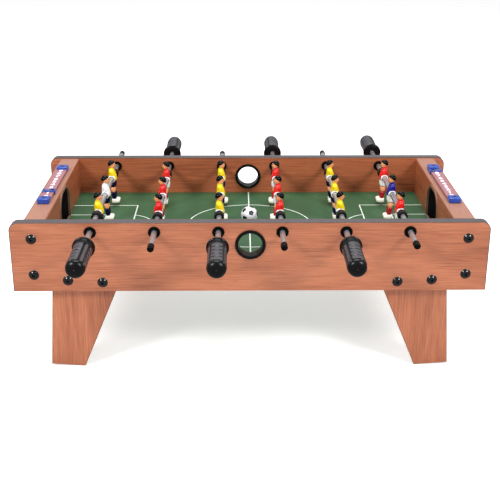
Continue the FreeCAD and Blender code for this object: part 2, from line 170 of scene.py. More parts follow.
def woodFinish(name, grain, inside=None, top=None, edgeShare=0.0):
    # grain is the axis that the fibres follow; inside and top pick out faces by their place: inner faces take
    # redder tones of painted shade and bounced light from inside the box, tops a paler tone of painted light
    # and sheen
    look = woodLook
    wood = Finish(name, Roughness=0.4, Coat_Roughness=0.25)
    run = ["xyz".index(grain) == axis for axis in range(3)]
    fine = wood.stretch(*[look["run"] if along else 1.0 for along in run])
    wide = wood.stretch(*[look["cloudRun"] if along else 1.0 for along in run])
    fibre = wood.noise(fine, look["fibre"], 4.0, 0.62)
    streak = wood.noise(fine, look["streak"], 3.0, 0.55, 0.3)
    cloud = wood.noise(wide, look["cloud"], 3.0, 0.5, 0.8)
    tone = wood.fade(streak * 0.6 + cloud * 0.4, *look["contrast"])

    def colours(light, middle, dark):
        return wood.ramp(tone, (0.0, look[dark]), (0.5, look[middle]), (1.0, look[light]))

    base = colours("light", "middle", "dark")
    x, y, z = wood.axes()
    # painted light and sheen: the end boards' tops are mixed towards the paler top tone
    if top:
        base = wood.mix(top(x, y, z) * look["litTopShare"], base, look["top"])
    # painted shade and bounced light: faces inside the box take the redder inside tones
    if inside:
        base = wood.mix(inside(x, y, z), base, colours("shadedInsideLight", "shadedInsideMiddle", "shadedInsideDark"))
    base = wood.mix(wood.fade(fibre, *look["pores"]) * look["poreShare"], base, look["pore"])
    if edgeShare:
        base = wood.mix(edgeShare, base, look["edge"])
    wood.feed("Base Color", base)
    wood.feed("Roughness", 0.38 + fibre * 0.16)
    wood.feed("Coat Weight", 0.08 + cloud * 0.1)
    wood.bump(fibre * 0.6 + streak * 0.4, look["relief"])
    return wood


# plastics, metals and rubber

def plasticFinish(name, colour, roughness=0.35, spread=0.1, grain=0.00004, coat=0.0, shade=0.12, gloss=0.5):
    # spread is how far the roughness wanders, grain the bump in metres, shade how far the colour wanders
    plastic = Finish(name, Roughness=roughness, Coat_Roughness=0.15, Specular_IOR_Level=gloss)
    cloud = plastic.noise(plastic.place, 90.0, 3.0, 0.55)
    speckle = plastic.noise(plastic.place, 1600.0, 2.0, 0.6)
    darker = tuple(part * (1 - shade) for part in colour[:3]) + (1.0,)
    lighter = tuple(min(1.0, part * (1 + shade)) for part in colour[:3]) + (1.0,)
    plastic.feed("Base Color", plastic.ramp(cloud * 0.75 + speckle * 0.25, (0.3, darker), (0.7, lighter)))
    plastic.feed("Roughness", roughness - spread / 2 + spread * plastic.noise(plastic.place, 260.0, 4.0, 0.6))
    plastic.feed("Coat Weight", coat + 0.02 * cloud)
    plastic.bump(speckle * 0.7 + cloud * 0.3, grain)
    return plastic


def metalFinish(name, colour, roughness, along=None, metallic=1.0):
    metal = Finish(name, Metallic=metallic, Roughness=roughness)
    factors = [0.06 if axis == along else 1.0 for axis in "xyz"]
    scratch = metal.noise(metal.stretch(*factors), 2600.0, 3.0, 0.6)
    haze = metal.noise(metal.place, 120.0, 3.0, 0.5)
    darker = tuple(part * 0.85 for part in colour[:3]) + (1.0,)
    metal.feed("Base Color", metal.ramp(haze * 0.6 + scratch * 0.4, (0.3, darker), (0.7, colour)))
    metal.feed("Roughness", roughness * 0.6 + roughness * 0.8 * haze)
    metal.bump(scratch, 0.00001)
    return metal


faceDepth = 0.0005  # how far behind a face its painted shade tone reaches
# how far below the end boards' tops the painted light and sheen reach
litTopDepth = 0.0032
insideFace = abs(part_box("front_side_panel")[1].y)
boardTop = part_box("left_end_board")[1].z
boardInner = abs(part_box("left_end_board")[1].x)
# inner faces of the panels and end boards take the painted shade and bounced light tones
woodPanel = woodFinish("panelWoodgrain", "x", lambda x, y, z: abs(y) < insideFace + faceDepth)
woodLeg = woodFinish("legWoodgrain", "z")
woodLegEdge = woodFinish("legEdgeWoodgrain", "z", edgeShare=0.7)
# the end boards' tops take the paler tone of painted light and sheen
woodEnd = woodFinish("endBoardWoodgrain", "y", lambda x, y, z: abs(x) < boardInner + faceDepth,
                     lambda x, y, z: z > boardTop - litTopDepth)
edgingFinish = plasticFinish("edgeMoulding", paint(78, 72, 74), roughness=0.34, spread=0.12, grain=0.00003,
                             shade=0.08)
blackMoulded = plasticFinish("blackMouldedPlastic", paint(4, 4, 5), roughness=0.32, spread=0.14,
                             grain=0.00005, shade=0.25, gloss=0.08)
blackGloss = plasticFinish("blackGlossPlastic", paint(3, 3, 5), roughness=0.28, spread=0.08, grain=0.00002,
                           shade=0.3, gloss=0.26)
# the grip's grey is partly its own dark plastic and partly a painted sheen of the top light, lighter than the
# black collar and dome
gripFinish = plasticFinish("gripPlastic", paint(62, 58, 64), roughness=0.4, spread=0.14, grain=0.00006,
                           shade=0.2, gloss=0.7)
rubberFinish = plasticFinish("blackRubber", paint(10, 10, 11), roughness=0.5, spread=0.16, grain=0.0001,
                             shade=0.3, gloss=0.25)
blueFinish = plasticFinish("bluePlastic", paint(24, 66, 160), roughness=0.26, grain=0.00003, coat=0.3)
navyFinish = plasticFinish("navyPlastic", paint(16, 22, 70), roughness=0.3, grain=0.00003, coat=0.1)
whiteInk = plasticFinish("whitePrint", paint(244, 242, 246), roughness=0.5, grain=0.00001, shade=0.04)
darkChrome = plasticFinish("darkBolts", paint(4, 5, 8), roughness=0.16, spread=0.04, grain=0.00001, shade=0.2,
                           gloss=0.6)
chromeFinish = metalFinish("polishedTube", paint(206, 206, 212), roughness=0.26, along="y", metallic=0.85)
zincFinish = metalFinish("zincPlate", paint(186, 190, 196), roughness=0.34)
print("finishes made")


# playing surface with its printed pitch

pitch = {"green": paint(42, 82, 49), "greenDark": paint(34, 72, 41), "greenLight": paint(51, 92, 58),
         "ink": paint(226, 234, 226), "line": 0.0019, "middleX": 0.0009, "middleY": -0.009, "circle": 0.0992,
         "boxX": 0.1875, "boxHalf": 0.0975, "goalX": 0.2345, "goalHalf": 0.0495, "arcX": 0.206, "arc": 0.052,
         "spot": 0.0028, "penalty": 0.2065}


def pitchFinish(look):
    field = Finish("printedPitch", Roughness=0.42, Coat_Roughness=0.3)
    x, y, z = field.axes()
    across = abs(x - look["middleX"])
    down = abs(y - look["middleY"])
    half = look["line"] / 2

    def ring(fromX, radius):
        run = (across - fromX) ** 2 + down ** 2
        return abs(run ** 0.5 - radius) < half

    lines = across < half
    lines = lines | ring(0.0, look["circle"]) | (ring(look["arcX"], look["arc"]) * (across < look["boxX"]))
    for edge, reach in ((look["boxX"], look["boxHalf"]), (look["goalX"], look["goalHalf"])):
        lines = lines | ((abs(across - edge) < half) * (down < reach + half))
        lines = lines | ((abs(down - reach) < half) * (across > edge))
    for spotX in (0.0, look["penalty"]):
        away = ((across - spotX) ** 2 + down ** 2) ** 0.5
        lines = lines | (away < look["spot"])
    felt = field.noise(field.place, 1900.0, 3.0, 0.65)
    cloud = field.noise(field.place, 16.0, 3.0, 0.5)
    wear = field.noise(field.place, 420.0, 3.0, 0.6)
    green = field.ramp(cloud * 0.55 + felt * 0.45, (0.3, look["greenDark"]), (0.5, look["green"]),
                       (0.7, look["greenLight"]))
    inked = lines * (0.8 + 0.2 * field.fade(wear, 0.3, 0.5))
    field.feed("Base Color", field.mix(inked, green, look["ink"]))
    field.feed("Roughness", 0.4 + 0.2 * felt - 0.08 * lines)
    field.bump(felt + lines * 0.4, 0.00005)
    return field


fieldFinish = pitchFinish(pitch)


# goal pockets: black inside, with a wood-toned throat where the mouth is cut through the board

pocketLook = {"black": paint(8, 8, 9), "throat": paint(132, 96, 76), "throatDeep": 0.0018}


def pocketMaterial(look):
    pocket = Finish("goalPocket", Roughness=0.5)
    x, y, z = pocket.axes()
    mottle = pocket.noise(pocket.stretch(1.0, 1.0, 0.3), 700.0, 3.0, 0.6)
    throat = (abs(x) < boardInner + look["throatDeep"]) * (0.8 + 0.2 * mottle)
    pocket.feed("Base Color", pocket.mix(throat, look["black"], look["throat"]))
    pocket.feed("Roughness", 0.4 + 0.25 * mottle)
    pocket.bump(mottle, 0.00005)
    return pocket


pocketFinish = pocketMaterial(pocketLook)


# helpers that shape, stamp and place pieces; shapes are worked out in millimetres

def boxOf(node):
    low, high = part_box(node)
    return low * 1000, high * 1000


def middleOf(node):
    low, high = boxOf(node)
    return (low + high) / 2


def islands(node):
    # the box of each separate solid in a node, in millimetres
    bm = bmesh.new()
    bm.from_mesh(nodes[node].data)
    bmesh.ops.remove_doubles(bm, verts=bm.verts, dist=0.000005)
    waiting = set(bm.verts)
    boxes = []
    while waiting:
        queue = [waiting.pop()]
        spots = []
        while queue:
            vert = queue.pop()
            spots.append(vert.co * 1000)
            for edge in vert.link_edges:
                other = edge.other_vert(vert)
                if other in waiting:
                    waiting.remove(other)
                    queue.append(other)
        low = Vector([min(spot[axis] for spot in spots) for axis in range(3)])
        high = Vector([max(spot[axis] for spot in spots) for axis in range(3)])
        boxes.append((low, high))
    bm.free()
    return boxes


def lathe(bm, profile, steps=48, finish=0, closed=False):
    # spins a profile of (radius, along) points round Y
    old = set(bm.faces)
    verts = [bm.verts.new((radius, along, 0.0)) for radius, along in profile]
    edges = [bm.edges.new(pair) for pair in zip(verts, verts[1:])]
    if closed:
        edges.append(bm.edges.new((verts[-1], verts[0])))
    bmesh.ops.spin(bm, geom=verts + edges, cent=(0, 0, 0), axis=(0, 1, 0), dvec=(0, 0, 0),
                   angle=2 * math.pi, steps=steps, use_merge=True, use_duplicate=False)
    for face in bm.faces:
        if face not in old:
            face.material_index = finish


def loft(bm, rings, steps=16, finish=0, power=2.4, along="z", pinch=0.0):
    # rings are (place along, middle x, middle y, half x, half y); power squares the section off
    loop = bmesh.ops.create_circle(bm, cap_ends=False, segments=steps, radius=1)["verts"]
    edges = list({edge for vert in loop for edge in vert.link_edges})
    ends = [edges]
    everything = list(loop)
    for number in range(1, len(rings)):
        grown = bmesh.ops.extrude_edge_only(bm, edges=edges)["geom"]
        loop = [part for part in grown if isinstance(part, bmesh.types.BMVert)]
        fresh = set(loop)
        edges = [part for part in grown if isinstance(part, bmesh.types.BMEdge)
                 and part.verts[0] in fresh and part.verts[1] in fresh]
        bmesh.ops.translate(bm, vec=(0, 0, 1), verts=loop)
        everything += loop
    ends.append(edges)
    for boundary in ends:
        bmesh.ops.contextual_create(bm, geom=boundary)
    for vert in everything:
        place, midX, midY, halfX, halfY = rings[round(vert.co.z)]
        across = math.copysign(abs(vert.co.x) ** (2 / power), vert.co.x)
        side = math.copysign(abs(vert.co.y) ** (2 / power), vert.co.y)
        halfX *= 1 - pinch * math.exp(-(side * 3) ** 2)
        spot = (midX + across * halfX, midY + side * halfY, place)
        vert.co = spot if along == "z" else (spot[2], spot[1], spot[0])
    for face in {face for vert in everything for face in vert.link_faces}:
        face.material_index = finish


def blob(bm, middle, half, finish=0, segments=12):
    made = bmesh.ops.create_uvsphere(bm, u_segments=segments, v_segments=max(6, segments // 2),
                                     radius=1)["verts"]
    bmesh.ops.scale(bm, vec=half, verts=made)
    bmesh.ops.translate(bm, vec=middle, verts=made)
    for face in {face for vert in made for face in vert.link_faces}:
        face.material_index = finish
    return made


def stamp(bm, pattern, spot, turn=0.0):
    # adds a moved copy of pattern, turned about Z
    copy = pattern.copy()
    copy.transform(Matrix.Translation(spot) @ Matrix.Rotation(turn, 4, "Z"))
    carrier = bpy.data.meshes.new("carrier")
    copy.to_mesh(carrier)
    copy.free()
    bm.from_mesh(carrier)
    bpy.data.meshes.remove(carrier)


def makePiece(bm, name, finishes, body, replaced=(), smoothing=0, crease=35.0, merge=0.001):
    bmesh.ops.remove_doubles(bm, verts=bm.verts, dist=merge)
    bmesh.ops.recalc_face_normals(bm, faces=bm.faces)
    bmesh.ops.scale(bm, vec=(0.001, 0.001, 0.001), verts=bm.verts)
    for face in bm.faces:
        face.smooth = True
    mesh = bpy.data.meshes.new(name)
    bm.to_mesh(mesh)
    bm.free()
    if not smoothing:
        mesh.set_sharp_from_angle(angle=math.radians(crease))
    for finish in finishes:
        mesh.materials.append(finish.material)
    piece = bpy.data.objects.new(name, mesh)
    scene.collection.objects.link(piece)
    if smoothing:
        round_ = piece.modifiers.new("smooth", "SUBSURF")
        round_.levels = round_.render_levels = smoothing
    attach(piece, body)
    if replaced:
        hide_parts(*replaced)
    return piece


def softened(node, name, finishes, body, width, shortest=0.0, segments=2, shaped=None):
    # a copy of a CAD node whose sharp outer edges are rounded off
    bm = bmesh.new()
    bm.from_mesh(nodes[node].data)
    bmesh.ops.scale(bm, vec=(1000, 1000, 1000), verts=bm.verts)
    bmesh.ops.remove_doubles(bm, verts=bm.verts, dist=0.005)
    bmesh.ops.dissolve_limit(bm, angle_limit=math.radians(0.5), verts=bm.verts, edges=bm.edges)
    sharp = [edge for edge in bm.edges if len(edge.link_faces) == 2 and edge.calc_length() > shortest
             and edge.calc_face_angle() > math.radians(40)]
    bmesh.ops.bevel(bm, geom=sharp, offset=width, offset_type="OFFSET", segments=segments, profile=0.5,
                    affect="EDGES", clamp_overlap=True, material=-1)
    if shaped:
        shaped(bm)
    return makePiece(bm, name, finishes, body, [node])


def coat(node, finish):
    # a CAD node keeps its shape and takes a finish
    data = nodes[node].data
    data.materials.clear()
    data.materials.append(finish.material)


# boards, edging and playing surface

def legEdges(bm):
    # the cut edges all round a leg are darker than its two broad faces
    for face in bm.faces:
        face.material_index = 0 if abs(face.normal.y) > 0.95 else 1


for face in ("front", "back"):
    coat(face + "_side_panel", woodPanel)
    softened(face + "_panel_edging", face + "Edging", [edgingFinish], "cabinet", width=0.45)
    for side in ends:
        softened(face + "_" + side + "_leg", face + side.capitalize() + "Leg", [woodLeg, woodLegEdge],
                 "cabinet", width=0.8, shortest=20.0, shaped=legEdges)
for side in ends:
    coat(side + "_end_board", woodEnd)
    coat(side + "_goal_pocket", pocketFinish)
coat("playfield", fieldFinish)
print("boards done")


# serve rings, rod bushings and their nuts

ringLook = {"outer": 22.0, "bore": 17.25, "sleeve": 18.9, "flange": 2.0, "joint": 0.12, "steps": 72}


def serveRing(face):
    node = face + "_serve_ring"
    low, high = boxOf(node)
    middle = (low + high) / 2
    halfDepth = (high.y - low.y) / 2
    look = ringLook
    bm = bmesh.new()
    seat = halfDepth - look["flange"]
    half = [(look["bore"] + 0.25, halfDepth - 0.6), (look["bore"] + 0.8, halfDepth),
            (look["outer"] - 1.0, halfDepth), (look["outer"] - 0.25, halfDepth - 0.35),
            (look["outer"], halfDepth - 1.1), (look["outer"], seat), (look["sleeve"], seat),
            (look["sleeve"], look["joint"] / 2), (look["bore"], look["joint"] / 2)]
    for sign in (1, -1):
        lathe(bm, [(radius, sign * along) for radius, along in half], look["steps"], closed=True)
    bmesh.ops.translate(bm, vec=middle, verts=bm.verts)
    makePiece(bm, face + "ServeRing", [blackGloss], "cabinet", [node])


tubeBore = 4.06  # clears the 8 mm tube
bushingLook = {"barrel": 6.0, "flange": 2.0, "steps": 40}


def bushings():
    look = bushingLook
    bm = bmesh.new()
    for low, high in islands("rod_bushings"):
        middle = (low + high) / 2
        front = middle.y < 0
        depth = high.y - low.y
        radius = (high.x - low.x) / 2
        pattern = bmesh.new()
        # from the outer face inwards
        lathe(pattern, [(tubeBore, 0.5), (4.6, 0.0), (5.6, 0.0), (6.1, 0.28), (6.6, 0.3),
                        (radius - 1.2, 0.12), (radius - 0.4, 0.4), (radius, 1.0), (radius, look["flange"]),
                        (look["barrel"], look["flange"]), (look["barrel"], depth), (tubeBore, depth)],
              look["steps"], closed=True)
        outerFace = Vector((middle.x, low.y if front else high.y, middle.z))
        stamp(bm, pattern, outerFace, 0.0 if front else math.pi)
        pattern.free()
    makePiece(bm, "rodBushings", [blackMoulded], "cabinet", ["rod_bushings"])


for face in ("front", "back"):
    serveRing(face)
bushings()
coat("bushing_nuts", blackMoulded)
print("rings and bushings done")


# bolts: domed heads with a hexagon socket, and threaded ends

boltLook = {"head": 7.5, "rise": 4.0, "socket": 2.3, "socketDepth": 2.4, "shank": 3.0, "thread": 9.0,
            "pitch": 1.0, "threadDepth": 0.45, "domeSteps": 8, "steps": 48}


def boltPattern(length):
    look = boltLook
    reach = length - look["rise"]
    curve = (look["head"] ** 2 + look["rise"] ** 2) / (2 * look["rise"])
    bm = bmesh.new()
    dome = []
    for step in range(look["domeSteps"] + 1):
        radius = look["socket"] + 0.5 + (look["head"] - look["socket"] - 0.9) * step / look["domeSteps"]
        dome.append((radius, -look["rise"] + curve - math.sqrt(curve ** 2 - radius ** 2)))
    mouth = dome[0][1]
    shank = []
    along = reach - look["thread"]
    while along < reach - 0.9:
        shank += [(look["shank"], along), (look["shank"] - look["threadDepth"], along + look["pitch"] / 2)]
        along += look["pitch"]
    profile = ([(0.0, mouth + look["socketDepth"] - 0.5), (look["socket"] * 0.6, mouth + look["socketDepth"]),
                (look["socket"], mouth + look["socketDepth"]), (look["socket"], mouth + 0.25)] + dome
               + [(look["head"], -0.35), (look["head"] - 0.3, 0.0), (look["shank"], 0.0)]
               + shank + [(look["shank"] - 0.6, reach), (0.0, reach)])
    lathe(bm, profile, look["steps"])
    bmesh.ops.remove_doubles(bm, verts=bm.verts, dist=0.001)
    # the socket's wall is pulled in to a hexagon
    for vert in bm.verts:
        radius = math.hypot(vert.co.x, vert.co.z)
        if 1.0 < radius < look["socket"] + 0.1 and vert.co.y < mouth + look["socketDepth"] + 0.1:
            turn = math.atan2(vert.co.z, vert.co.x) % (math.pi / 3) - math.pi / 6
            share = math.cos(math.pi / 6) / math.cos(turn)
            vert.co.x *= share
            vert.co.z *= share
    return bm


def bolts(node, name, finish):
    bm = bmesh.new()
    pattern = None
    for low, high in islands(node):
        middle = (low + high) / 2
        pattern = pattern or boltPattern(high.y - low.y)
        front = middle.y < 0
        seat = low.y + boltLook["rise"] if front else high.y - boltLook["rise"]
        stamp(bm, pattern, Vector((middle.x, seat, middle.z)), 0.0 if front else math.pi)
    pattern.free()
    makePiece(bm, name, [finish], "cabinet", [node], crease=40.0)


bolts("end_board_bolts", "endBoardBolts", darkChrome)
bolts("leg_bolts", "legBolts", darkChrome)
coat("leg_nuts", zincFinish)
coat("cross_dowels", zincFinish)
print("bolts done")


# goal counters

counterLook = {"strip": paint(158, 104, 112), "digit": 13.0, "bold": 0.45, "lift": 0.12, "digits": 10,
               "window": 1.7, "frame": 0.35, "sunk": 1.1}
stripFinish = plasticFinish("counterStrip", counterLook["strip"], roughness=0.3, grain=0.00002, coat=0.2,
                            shade=0.1)


def digits(side):
    # raised figures along one rail; the left rail is the one with the lowest x
    look = counterLook
    low, high = min(islands("counter_rails"), key=lambda box: box[0].x * (1 if side == "left" else -1))
    bm = bmesh.new()
    pitchY = (high.y - low.y) / look["digits"]
    for number in range(look["digits"]):
        text = bpy.data.curves.new("digit", "FONT")
        text.body = str(number)
        text.size = look["digit"]
        text.align_x, text.align_y = "CENTER", "CENTER"
        text.extrude = look["lift"] / 2
        text.offset = look["bold"]
        text.resolution_u = 4
        carrier = bpy.data.objects.new("digit", text)
        scene.collection.objects.link(carrier)
        bpy.context.view_layer.update()
        mesh = bpy.data.meshes.new_from_object(carrier.evaluated_get(bpy.context.evaluated_depsgraph_get()))
        mesh.transform(Matrix.Translation(((low.x + high.x) / 2, low.y + pitchY * (number + 0.5),
                                           high.z + look["lift"] / 2)))
        bm.from_mesh(mesh)
        bpy.data.objects.remove(carrier)
        bpy.data.curves.remove(text)
        bpy.data.meshes.remove(mesh)
    makePiece(bm, side + "CounterDigits", [whiteInk], "cabinet")


def sunkWindow(bm):
    # a sunk strip in the top of the slider
    top = max(bm.faces, key=lambda face: face.calc_area() * (face.normal.z > 0.9))
    bmesh.ops.inset_region(bm, faces=[top], thickness=counterLook["window"], depth=0.0, use_even_offset=True)
    top.material_index = 1
    sunk = bmesh.ops.inset_region(bm, faces=[top], thickness=counterLook["frame"], depth=-counterLook["sunk"],
                                  use_even_offset=True)
    for face in sunk["faces"]:
        face.material_index = 1


coat("counter_rails", stripFinish)
softened("counter_end_blocks", "counterEndBlocks", [blueFinish], "cabinet", width=1.6,
         shortest=7.5, segments=4)
coat("counter_screws", darkChrome)
for side in ends:
    digits(side)
    softened(side + "_counter_slider", side + "CounterSlider", [blueFinish, navyFinish],
             side + "_counter_slider", width=0.6, shortest=1.5, shaped=sunkWindow)
print("counters done")


# handles: a flange, a waisted collar and a grip of ribbed pads

gripLook = {"pads": 3, "padHalf": 0.75, "padStart": 14.0, "padEnd": 75.5, "corner": 3.0, "radius": 13.5,
            "collar": 12.2, "dome": 12.7, "groove": 1.9, "grooveHalf": 0.085, "grooveEdge": 60,
            "ribs": 5, "ribDepth": 1.0, "ribHalf": 0.75, "ribSlope": 0.45, "ribBow": 1.8, "bowSpan": 0.7,
            "waist": 0.5, "waistSpan": 55.0, "slice": 0.6, "steps": 120}
turns = {1: -0.39, 2: 0.15, 3: 0.0, 4: -0.2, 5: 0.14, 6: 0.35}


def gripProfile(length, flange):
    look = gripLook
    points = [(tubeBore, 0.0), (flange - 0.6, 0.0), (flange, 0.5), (flange, 2.2), (flange - 0.4, 2.8),
              (flange - 1.6, 3.2)]
    for step in range(1, 9):
        share = step / 8
        points.append((look["collar"] + (flange - 1.6 - look["collar"]) * (1 - share) ** 1.6,
                       3.2 + (look["padStart"] - 4.0) * share))
    points += [(look["collar"] + 0.2, look["padStart"] - 0.4), (look["radius"] - 0.4, look["padStart"])]
    along = look["padStart"] + look["slice"]
    while along < look["padEnd"] - 0.5:
        points.append((look["radius"], along))
        along += look["slice"]
    points += [(look["radius"] - 0.3, look["padEnd"]), (look["dome"] - 0.9, look["padEnd"] + 0.5),
               (look["dome"] - 0.9, look["padEnd"] + 1.0), (look["dome"] - 0.2, look["padEnd"] + 1.4)]
    start = look["padEnd"] + 1.4
    tip = length - 0.6
    for step in range(1, 12):
        angle = math.pi / 2 * step / 12
        points.append((look["dome"] * math.cos(angle), start + (tip - start) * math.sin(angle)))
    points += [(1.4, tip), (1.1, length - 0.1), (0.6, length), (0.0, length)]
    return points


def gripPattern(length, flange):
    # a wide ribbed pad and a narrow plain one in turn, with a groove on each side of both
    look = gripLook
    padLength = look["padEnd"] - look["padStart"]
    bm = bmesh.new()
    lathe(bm, [(radius, -along) for radius, along in gripProfile(length, flange)], look["steps"])
    bmesh.ops.remove_doubles(bm, verts=bm.verts, dist=0.001)
    bmesh.ops.recalc_face_normals(bm, faces=bm.faces)
    pitchAngle = 2 * math.pi / look["pads"]
    ribPitch = padLength / look["ribs"]
    grooveShadeVerts = set()
    for vert in bm.verts:
        along = -vert.co.y - look["padStart"]
        radius = math.hypot(vert.co.x, vert.co.z)
        if radius < look["dome"] - 0.5 or not -0.2 < along < padLength + 0.2:
            continue
        offset = abs((math.atan2(vert.co.x, vert.co.z) + pitchAngle / 2) % pitchAngle - pitchAngle / 2)
        toGroove = abs(look["padHalf"] - offset)
        fromEnd = min(along, padLength - along)
        corner = max(0.0, look["corner"] - fromEnd) ** 2 / 70  # rounds a pad's corners
        pastGroove = (toGroove - look["grooveHalf"] - corner) * look["grooveEdge"]
        groove = look["groove"] / (1 + math.exp(pastGroove))
        bow = along + look["ribBow"] * (offset / look["bowSpan"]) ** 2
        toRib = (bow + ribPitch / 2) % ribPitch - ribPitch / 2
        onRibs = ribPitch / 2 < bow < padLength - ribPitch / 2 and offset < look["padHalf"]
        rib = look["ribDepth"] * math.exp(-(toRib / look["ribHalf"]) ** 2) * onRibs
        slope = look["ribSlope"] * ((bow + ribPitch / 2) % ribPitch) / ribPitch  # towards its outer end
        if max(groove, rib) > 0.4:
            grooveShadeVerts.add(vert)
        waist = look["waist"] * math.sin(math.pi * min(1.0, max(0.0, along / look["waistSpan"]))) ** 2
        share = (radius - max(groove, rib + slope) - waist) / radius
        vert.co.x *= share
        vert.co.z *= share
    # faces in the grooves and between the ribs take the black gloss as painted shade in these recesses; the
    # collar and dome take it as their own black plastic
    for face in bm.faces:
        along = -face.calc_center_median().y
        onPad = look["padStart"] + 0.2 < along < look["padEnd"] - 0.6 and not grooveShadeVerts.intersection(face.verts)
        face.material_index = 0 if onPad else 1
    return bm


def rodEnd(node):
    # where a piece on a rod's end begins, and the turn that points it away from the table
    low, high = boxOf(node)
    middle = (low + high) / 2
    front = middle.y < 0
    return Vector((middle.x, high.y if front else low.y, middle.z)), 0.0 if front else math.pi


def handle(number):
    node = "rod_%d_handle" % number
    rolled = gripMade.copy()
    rolled.transform(Matrix.Rotation(turns[number], 4, "Y"))
    bm = bmesh.new()
    stamp(bm, rolled, *rodEnd(node))
    rolled.free()
    makePiece(bm, "rod%dHandle" % number, [gripFinish, blackGloss], "rod_%d_assembly" % number,
              [node], crease=50.0)


capLook = {"dome": 2.8, "grooveStart": 2.5, "grooveEnd": 3.1, "grooveDepth": 0.25, "bore": 10.0, "steps": 40}


def endCap(number):
    look = capLook
    node = "rod_%d_end_cap" % number
    low, high = boxOf(node)
    length = high.y - low.y
    radius = (high.x - low.x) / 2
    # from the bottom of the bore to the mouth, and back over the outside to the tip
    neck = radius - look["grooveDepth"]
    profile = [(0.0, look["bore"]), (tubeBore, look["bore"]), (tubeBore, 0.0), (radius - 0.2, 0.0),
               (radius, 0.25), (radius, 2.2), (neck, look["grooveStart"]), (neck, look["grooveEnd"]),
               (radius, 3.4), (radius, length - look["dome"])]
    for step in range(1, 8):
        angle = math.pi / 2 * step / 8
        profile.append((radius * math.cos(angle), length - look["dome"] + look["dome"] * math.sin(angle)))
    profile += [(0.0, length)]
    pattern = bmesh.new()
    lathe(pattern, [(across, -along) for across, along in profile], look["steps"])
    bm = bmesh.new()
    stamp(bm, pattern, *rodEnd(node))
    pattern.free()
    makePiece(bm, "rod%dEndCap" % number, [blackMoulded], "rod_%d_assembly" % number, [node])


low, high = boxOf("rod_1_handle")
gripMade = gripPattern(high.y - low.y, (high.x - low.x) / 2)
for number in range(1, 7):
    handle(number)
    endCap(number)
    coat("rod_%d_tube" % number, chromeFinish)
    coat("rod_%d_bumpers" % number, rubberFinish)
gripMade.free()
print("handles done")


# players: one moulded figure, painted for each team

kit = {"skin": paint(255, 172, 118), "hair": paint(3, 3, 4), "white": paint(252, 250, 250),
       "cream": paint(250, 244, 230), "yellow": paint(255, 222, 14), "navy": paint(8, 9, 48),
       "red": paint(236, 26, 26), "darkRed": paint(168, 18, 34), "blue": paint(18, 20, 138),
       "mouth": paint(186, 84, 66)}
matt = ("hair", "navy")
paints = {name: plasticFinish("painted" + name[0].upper() + name[1:], colour, roughness=0.26, grain=0.00002,
                              coat=0.0 if name == "hair" else 0.1, shade=0.06,
                              gloss=0.15 if name in matt else 0.5)
          for name, colour in kit.items()}
figure = {
    # each ring is (height, middle x, middle y, half x, half y); the rod's middle is at 0
    "shirt": [(-3.6, 1.1, 0, 6.3, 7.9), (-2.4, 1.2, 0, 7.0, 8.4), (3.0, 0.85, 0, 6.75, 8.7),
              (8.0, 0.2, 0, 6.0, 8.8), (12.0, -0.35, 0, 5.15, 8.7), (15.3, -0.8, 0, 4.2, 7.6),
              (17.0, -0.7, 0, 3.3, 4.6)],
    "collar": [(16.0, -0.2, 0, 3.3, 3.6), (17.3, -0.1, 0, 3.5, 3.8), (17.8, 0.0, 0, 3.0, 3.3)],
    "neck": [(16.4, 0.2, 0, 2.8, 2.9), (20.5, 0.7, 0, 2.7, 2.8)],
    "head": [(16.9, 1.7, 0, 1.9, 2.0), (18.0, 1.3, 0, 3.7, 3.6), (20.2, 0.8, 0, 4.9, 4.7),
             (23.0, 0.5, 0, 5.4, 5.1), (26.0, 0.2, 0, 5.2, 4.9), (28.4, 0.0, 0, 3.6, 3.4)],
    "shorts": [(-2.6, 0.4, 0, 6.2, 7.7), (-6.0, 0.5, 0, 6.7, 8.1), (-11.0, 0.6, 0, 6.8, 8.3),
               (-15.6, 0.7, 0, 6.4, 8.2)],
    "thigh": [(-15.0, 0.7, 0, 4.4, 3.5), (-20.0, 1.0, 0, 4.0, 3.2), (-24.6, 1.6, 0, 3.6, 3.0)],
    "sock": [(-23.8, 1.6, 0, 4.0, 3.3), (-25.0, 1.7, 0, 4.2, 3.4), (-29.0, 1.9, 0, 4.3, 3.4),
             (-33.0, 2.4, 0, 3.7, 3.1), (-36.4, 2.8, 0, 3.8, 3.2)],
    "arm": [(15.0, -1.0, 0, 2.4, 1.7), (12.0, -0.8, 0, 2.7, 2.2), (8.5, 0.3, 0, 2.6, 2.1),
            (5.6, 1.6, 0, 2.0, 1.7)],
    # a shoe's rings run from heel to toe: (place x, height, middle y, half height, half y)
    "shoe": [(-1.8, -38.7, 0, 2.8, 2.9), (-1.0, -38.9, 0, 3.9, 3.8), (2.0, -38.9, 0, 4.0, 4.2),
             (6.2, -38.9, 0, 3.9, 4.4), (9.8, -38.9, 0, 3.4, 4.3), (11.7, -38.9, 0, 2.2, 3.3)],
    # the boss that clamps the rod, as (radius, along)
    "boss": [(4.08, -10.6), (5.2, -10.6), (5.9, -10.3), (6.1, -9.5), (6.1, -4.0), (6.1, 4.0), (6.1, 9.5),
             (5.9, 10.3), (5.2, 10.6), (4.08, 10.6)],
    # small round features, as (middle, half sizes)
    "ear": ((0.3, 5.1, 22.6), (1.0, 0.55, 1.5)), "eye": ((5.55, 1.9, 23.7), (0.4, 0.6, 0.75)),
    "nose": ((5.9, 0, 21.9), (0.9, 0.75, 1.2)), "mouth": ((5.25, 0, 19.6), (0.5, 1.5, 0.35)),
    "hair": ((-0.25, 0, 23.4), (6.25, 5.85, 6.8)),
    "hairline": ((0.0, 0, 23.4), (-0.46, 0, 0.89)), "lip": 0.82, "lipMiddle": (0.25, 0, -23.4),
    "legY": 3.9, "shoeY": 4.5, "armY": 8.8, "torsoHalf": 11.0}
figurePaints = ["shirt", "white", "shorts", "skin", "socks", "cream", "hair", "mouth"]


def moved(rings, y):
    return [(place, midX, midY + y, halfX, halfY) for place, midX, midY, halfX, halfY in rings]


